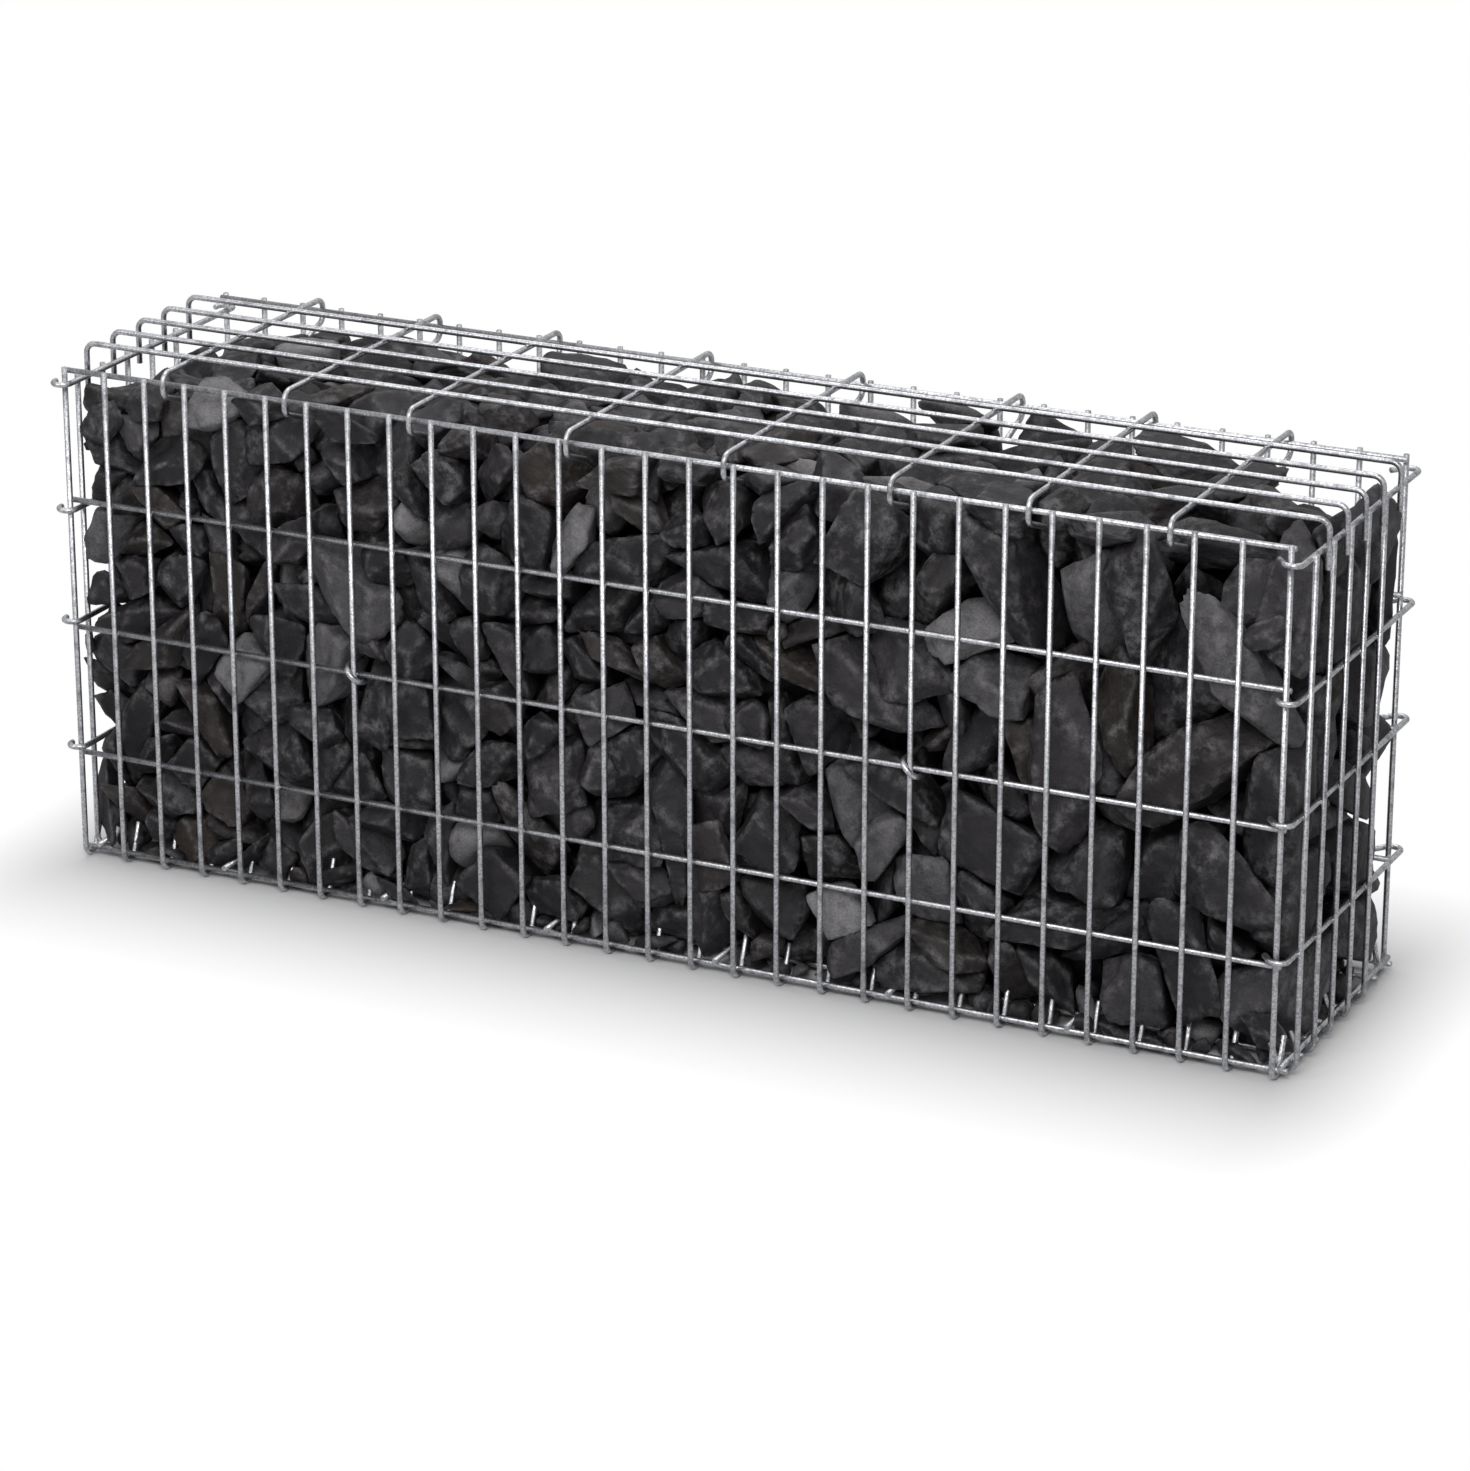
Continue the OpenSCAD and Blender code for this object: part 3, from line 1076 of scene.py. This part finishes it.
    def level(self, stone: Stone) -> int:
        """How fine a stone is: finest where the face, the top and the right end show it, less for chips.

        Args:
            stone: The stone where it came to rest.

        Returns:
            The level of the blank that it is shaped from.
        """
        s = self.sizes
        place = stone.rest.translation
        ahead = min(place.y + s.fill_half, s.right_row_x - place.x, s.fill_top(place.x) - place.z)
        around = min(ahead, s.fill_half - place.y, place.x - s.left_row_x)
        coarse, medium, fine = self.levels
        level = fine if ahead < self.first_row else medium if around < self.second_row else coarse
        return max(coarse, level - sum(stone.shape.x < size for size in self.chip_sizes))


def linear(hex_colour: str) -> tuple[float, float, float, float]:
    """Turns an sRGB hex colour into linear values.

    Args:
        hex_colour: Six hex digits after a hash sign.

    Returns:
        Red, green, blue and an alpha of 1.
    """
    parts = [int(hex_colour[i:i + 2], 16) / 255 for i in (1, 3, 5)]
    values = [part / 12.92 if part <= 0.04045 else ((part + 0.055) / 1.055) ** 2.4 for part in parts]
    return (*values, 1.0)


class NodeSheet:
    """A node tree, filled one node at a time."""

    def __init__(self, tree: bpy.types.NodeTree) -> None:
        """Clears the tree."""
        self.tree = tree
        tree.nodes.clear()

    def add(self, kind: str, settings: dict | None = None, **sockets: object) -> bpy.types.Node:
        """Adds a node with its settings and links.

        Args:
            kind: Blender's name of the node.
            settings: Properties of the node itself.
            **sockets: Values of its inputs, or outputs to link to them, by name or by n and the index.

        Returns:
            The new node.
        """
        node = self.tree.nodes.new(kind)
        for key, value in (settings or {}).items():
            setattr(node, key, value)
        for key, value in sockets.items():
            by_number = key[0] == "n" and key[1:].isdigit()
            socket = node.inputs[int(key[1:]) if by_number else key.replace("_", " ")]
            if isinstance(value, bpy.types.NodeSocket):
                self.tree.links.new(value, socket)
            else:
                socket.default_value = value
        return node


def new_material(name: str) -> tuple[bpy.types.Material, NodeSheet]:
    """Makes a material that has no nodes yet.

    Args:
        name: Name of the material.

    Returns:
        The material, and the sheet that its nodes go on.
    """
    material = bpy.data.materials.new(name)
    material.use_nodes = True
    return material, NodeSheet(material.node_tree)


@dataclass(frozen=True)
class GalvanisedWire:
    """Hot-dip galvanised steel wire: drawn steel under a coat of zinc that has weathered a little."""

    pale: str = "#D6D7DA"
    dull: str = "#A1A2A6"
    stain: str = "#737478"
    spangle_mm: float = 1.8
    stain_mm: float = 9.0
    grit_mm: float = 1.1
    grit_depth_mm: float = 0.2
    roughness: Span = (0.32, 0.46)

    def build(self) -> bpy.types.Material:
        """Makes the material.

        Returns:
            The material, for all wires.
        """
        material, sheet = new_material("galvanised_wire")
        place = sheet.add("ShaderNodeTexCoord").outputs["Object"]
        # Zinc crystals give the wire a fine pale and grey fleck, and dull spots where the coat has weathered
        spangle = sheet.add("ShaderNodeTexNoise", Vector=place, Scale=1 / (self.spangle_mm * MM),
                            Detail=2.0).outputs["Fac"]
        stain = sheet.add("ShaderNodeTexNoise", Vector=place, Scale=1 / (self.stain_mm * MM),
                          Detail=3.0).outputs["Fac"]
        fleck = sheet.add("ShaderNodeMapRange", Value=spangle, From_Min=0.34, From_Max=0.62)
        mark = sheet.add("ShaderNodeMapRange", Value=stain, From_Min=0.52, From_Max=0.74, To_Max=0.7)
        metal = sheet.add("ShaderNodeMix", {"data_type": "RGBA"}, n0=fleck.outputs[0],
                          n6=linear(self.dull), n7=linear(self.pale))
        colour = sheet.add("ShaderNodeMix", {"data_type": "RGBA"}, n0=mark.outputs[0],
                           n6=metal.outputs[2], n7=linear(self.stain))
        # Pale crystals are smoother than dull ones, so the light along a wire breaks up
        rough = sheet.add("ShaderNodeMapRange", Value=spangle, From_Min=0.3, From_Max=0.7,
                          To_Min=self.roughness[1], To_Max=self.roughness[0])
        # Runs and grains in the zinc are under half a millimetre, and are drawn coarser so that they show
        grit = sheet.add("ShaderNodeTexNoise", Vector=place, Scale=1 / (self.grit_mm * MM), Detail=1.0)
        bump = sheet.add("ShaderNodeBump", Strength=0.3, Distance=self.grit_depth_mm * MM,
                         Height=grit.outputs["Fac"])
        shader = sheet.add("ShaderNodeBsdfPrincipled", Base_Color=colour.outputs[2], Metallic=1.0,
                           Roughness=rough.outputs[0], Normal=bump.outputs[0])
        sheet.add("ShaderNodeOutputMaterial", Surface=shader.outputs[0])
        return material


@dataclass(frozen=True)
class BrokenBasalt:
    """Broken basalt: a dense charcoal stone that splits along flat, slightly hollow faces."""

    tones: tuple[tuple[float, str], ...] = (
        (0.0, "#161317"), (0.60, "#221F23"), (0.85, "#2F2C30"), (0.93, "#585659"), (1.0, "#838183"))
    dusty: str = "#5E5C5E"
    # Paler colour along the edges: partly scuffing, partly a painted highlight
    edges: str = "#777577"
    brown: str = "#2E261E"
    coat_mm: float = 70.0
    patch_mm: float = 10.0
    hollow_depth_mm: float = 2.6
    scar_mm: float = 11.0
    scar_depth_mm: float = 1.6
    grit_mm: float = 1.5
    grit_depth_mm: float = 0.4
    roughness: Span = (0.50, 0.72)
    gloss: float = 0.38

    def build(self) -> bpy.types.Material:
        """Makes the material.

        Returns:
            The material, for all stones.
        """
        material, sheet = new_material("broken_basalt")
        place = sheet.add("ShaderNodeAttribute", {"attribute_name": "grain_place"}).outputs["Vector"]
        look = sheet.add("ShaderNodeAttribute", {"attribute_name": "stone_look"}).outputs["Vector"]
        tone, warmth, edge_wear_and_highlight_mask = sheet.add("ShaderNodeSeparateXYZ", Vector=look).outputs
        # Each stone has its own tone: most are near black, a few are pale with dust or brown with iron
        ramp = sheet.add("ShaderNodeValToRGB", Fac=tone)
        stops = ramp.color_ramp.elements
        while len(stops) < len(self.tones):
            stops.new(0.5)
        for stop, (position, colour) in zip(stops, self.tones):
            stop.position, stop.color = position, linear(colour)
        warm = sheet.add("ShaderNodeMapRange", Value=warmth, From_Min=0.74, From_Max=1.0, To_Max=0.7)
        tinted = sheet.add("ShaderNodeMix", {"data_type": "RGBA"}, n0=warm.outputs[0],
                           n6=ramp.outputs[0], n7=linear(self.brown))
        # Grey dust lies in patches of about a centimetre, more on some stones than on others
        patch = sheet.add("ShaderNodeTexNoise", Vector=place, Scale=1 / (self.patch_mm * MM), Detail=6.0,
                          Roughness=0.68).outputs["Fac"]
        cover = sheet.add("ShaderNodeMapRange", Value=patch, From_Min=0.51, From_Max=0.66)
        region = sheet.add("ShaderNodeTexNoise", Vector=place, Scale=1 / (self.coat_mm * MM), Detail=0.0)
        coat = sheet.add("ShaderNodeMapRange", Value=region.outputs["Fac"], From_Min=0.42, From_Max=0.72,
                         To_Min=0.02, To_Max=0.46)
        share = sheet.add("ShaderNodeMath", {"operation": "MULTIPLY"}, n0=cover.outputs[0],
                          n1=coat.outputs[0])
        dusted = sheet.add("ShaderNodeMix", {"data_type": "RGBA"}, n0=share.outputs[0],
                           n6=tinted.outputs[2], n7=linear(self.dusty))
        # Edges that have knocked against each other are paler, in broken lines
        # Edges are paler, in broken lines: partly where they have knocked against each other, partly a
        # painted highlight along the edges
        broken_edge_lines = sheet.add("ShaderNodeMapRange", Value=patch, From_Min=0.42, From_Max=0.66, To_Max=0.75)
        line = sheet.add("ShaderNodeMath", {"operation": "MULTIPLY"}, n0=edge_wear_and_highlight_mask, n1=broken_edge_lines.outputs[0])
        edge_wear_and_highlight = sheet.add("ShaderNodeMix", {"data_type": "RGBA"}, n0=line.outputs[0],
                         n6=dusted.outputs[2], n7=linear(self.edges))
        # The crystals of basalt are finer than a millimetre, and are drawn coarser so that the grit shows
        grit = sheet.add("ShaderNodeTexNoise", Vector=place, Scale=1 / (self.grit_mm * MM),
                         Detail=3.0).outputs["Fac"]
        speck = sheet.add("ShaderNodeMapRange", Value=grit, From_Min=0.3, From_Max=0.75,
                          To_Min=0.75, To_Max=1.3)
        # Between the patches of dust the bare break is darker, so that a face isn't one flat grey
        bare = sheet.add("ShaderNodeMapRange", Value=patch, From_Min=0.36, From_Max=0.54, To_Min=0.6)
        shade = sheet.add("ShaderNodeMath", {"operation": "MULTIPLY"}, n0=speck.outputs[0],
                          n1=bare.outputs[0])
        colour = sheet.add("ShaderNodeMix", {"data_type": "RGBA", "blend_type": "MULTIPLY"}, n0=1.0,
                           n6=edge_wear_and_highlight.outputs[2], n7=shade.outputs[0])
        # Dust is duller than the bare break, which is rough enough to shade part of its own gloss
        rough = sheet.add("ShaderNodeMapRange", Value=patch, From_Min=0.3, From_Max=0.7,
                          To_Min=self.roughness[0], To_Max=self.roughness[1])
        # Splitting leaves shallow hollows and chips, which break up the light on the flat faces
        scar = sheet.add("ShaderNodeTexVoronoi", Vector=place, Scale=1 / (self.scar_mm * MM))
        chips = sheet.add("ShaderNodeBump", Strength=0.5, Distance=self.scar_depth_mm * MM,
                          Height=scar.outputs["Distance"])
        hollow = sheet.add("ShaderNodeBump", Strength=0.7, Distance=self.hollow_depth_mm * MM,
                           Height=patch, Normal=chips.outputs[0])
        bump = sheet.add("ShaderNodeBump", Strength=0.4, Distance=self.grit_depth_mm * MM,
                         Height=grit, Normal=hollow.outputs[0])
        shader = sheet.add("ShaderNodeBsdfPrincipled", Base_Color=colour.outputs[2],
                           Roughness=rough.outputs[0], Normal=bump.outputs[0], IOR=1.5,
                           Specular_IOR_Level=self.gloss)
        sheet.add("ShaderNodeOutputMaterial", Surface=shader.outputs[0])
        return material


@dataclass(frozen=True)
class Lamp:
    """A soft square lamp, with its middle, the point that it faces, its side and its power in watts."""

    name: str
    place: Triple
    aim: Triple
    side: float
    power: float

    def hang(self) -> None:
        """Hangs the lamp in the scene."""
        data = bpy.data.lights.new(self.name, "AREA")
        data.size = self.side
        data.energy = self.power
        lamp = link(self.name, data)
        lamp.location = self.place
        lamp.rotation_euler = (Vector(self.aim) - Vector(self.place)).to_track_quat("-Z", "Y").to_euler()


@dataclass(frozen=True)
class Studio:
    """White floor, soft lamps, and a camera at the photograph's viewing angle."""

    sizes: BasketSizes
    lamps: tuple[Lamp, ...] = (
        Lamp("overhead", (-0.4, 0.6, 2.3), (0, 0, 0.2), side=2.2, power=27.0),
        Lamp("front", (0.9, -2.2, 2.4), (0.1, 0, 0.2), side=1.5, power=44.0),
        Lamp("left", (-1.5, -2.3, 2.1), (0, 0, 0.2), side=1.0, power=18.0))
    floor_size: float = 14.0
    floor_colour: str = "#D4D4D5"
    shadow: Span = (0.0, 0.17)
    shadow_fall: float = 0.8
    shadow_shape: Triple = (1.8, 1, 1)
    sky: float = 0.34
    mirrored: float = 0.56
    azimuth: float = 26.08
    elevation: float = 20.22
    distance: float = 4.049
    lens: float = 128.88
    target: Triple = (0.0124, 0.0, 0.1479)

    def build(self) -> None:
        """Sets up everything that isn't the part."""
        bpy.context.scene.view_settings.view_transform = "Standard"
        self.floor()
        self.world()
        for lamp in self.lamps:
            lamp.hang()
        self.camera()

    def floor(self) -> None:
        """Lays a light grey floor that keeps the real shadow near the part and turns white farther off, so
        the grey fading out from the footprint is partly a painted shadow.
        """
        bm = bmesh.new()
        bmesh.ops.create_grid(bm, x_segments=1, y_segments=1, size=self.floor_size / 2)
        mesh = meshed("floor", bm)
        material, sheet = new_material("studio_floor")
        half = (self.sizes.half_l, self.sizes.half_d, 0)
        place = sheet.add("ShaderNodeTexCoord").outputs["Object"]
        apart = sheet.add("ShaderNodeVectorMath", {"operation": "ABSOLUTE"}, n0=place)
        past = sheet.add("ShaderNodeVectorMath", {"operation": "SUBTRACT"}, n0=apart.outputs[0], n1=half)
        off = sheet.add("ShaderNodeVectorMath", {"operation": "MAXIMUM"}, n0=past.outputs[0], n1=(0, 0, 0))
        # The photograph's shadow is shorter past the ends than before the face
        drawn = sheet.add("ShaderNodeVectorMath", {"operation": "MULTIPLY"}, n0=off.outputs[0],
                          n1=self.shadow_shape)
        away = sheet.add("ShaderNodeVectorMath", {"operation": "LENGTH"}, n0=drawn.outputs[0])
        # The floor turns from lit grey to white by distance from the footprint, whatever the light: a painted
        # shadow fading out round the part
        fade = sheet.add("ShaderNodeMapRange", Value=away.outputs["Value"], From_Min=self.shadow[0],
                         From_Max=self.shadow[1])
        lift = sheet.add("ShaderNodeMath", {"operation": "POWER"}, n0=fade.outputs[0], n1=self.shadow_fall)
        path = sheet.add("ShaderNodeLightPath")
        clear = sheet.add("ShaderNodeMath", {"operation": "MULTIPLY"}, n0=lift.outputs[0],
                          n1=path.outputs["Is Camera Ray"])
        diffuse = sheet.add("ShaderNodeBsdfDiffuse", Color=linear(self.floor_colour))
        white = sheet.add("ShaderNodeEmission", Color=WHITE)
        blend = sheet.add("ShaderNodeMixShader", Fac=clear.outputs[0], n1=diffuse.outputs[0],
                          n2=white.outputs[0])
        sheet.add("ShaderNodeOutputMaterial", Surface=blend.outputs[0])
        mesh.materials.append(material)
        floor = link("floor", mesh)

    def world(self) -> None:
        """Gives a white background, and a softer light from all round."""
        world = bpy.data.worlds.new("studio")
        bpy.context.scene.world = world
        world.use_nodes = True
        sheet = NodeSheet(world.node_tree)
        ray = sheet.add("ShaderNodeLightPath").outputs
        seen = sheet.add("ShaderNodeMath", {"operation": "MAXIMUM"}, n0=ray["Is Camera Ray"],
                         n1=ray["Is Transmission Ray"])
        shiny = sheet.add("ShaderNodeMath", {"operation": "MULTIPLY"}, n0=ray["Is Glossy Ray"],
                          n1=self.mirrored)
        view = sheet.add("ShaderNodeMath", {"operation": "MAXIMUM"}, n0=seen.outputs[0], n1=shiny.outputs[0])
        level = sheet.add("ShaderNodeMath", {"operation": "MAXIMUM"}, n0=view.outputs[0], n1=self.sky)
        light = sheet.add("ShaderNodeBackground", Color=WHITE, Strength=level.outputs[0])
        sheet.add("ShaderNodeOutputWorld", Surface=light.outputs[0])

    def camera(self) -> None:
        """Places the camera."""
        turn, lift = math.radians(self.azimuth), math.radians(self.elevation)
        back = Vector((math.sin(turn) * math.cos(lift), -math.cos(turn) * math.cos(lift), math.sin(lift)))
        data = bpy.data.cameras.new("camera")
        data.lens = self.lens
        camera = link("camera", data)
        camera.location = Vector(self.target) + back * self.distance
        camera.rotation_euler = (-back).to_track_quat("-Z", "Y").to_euler()
        bpy.context.scene.camera = camera


def main() -> None:
    """Builds the dressed part around its solids."""
    logging.basicConfig(level=logging.INFO, format="%(name)s: %(message)s")
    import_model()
    sizes = BasketSizes()
    basket = Basket(sizes, GalvanisedWire().build())
    basket.build()
    stones = Tumble(sizes, Quarry(), basket.obstacles, basket.pockets).fill()
    StoneFill(sizes, BrokenBasalt().build()).build(stones)
    Studio(sizes).build()


if __name__ == "__main__":
    main()
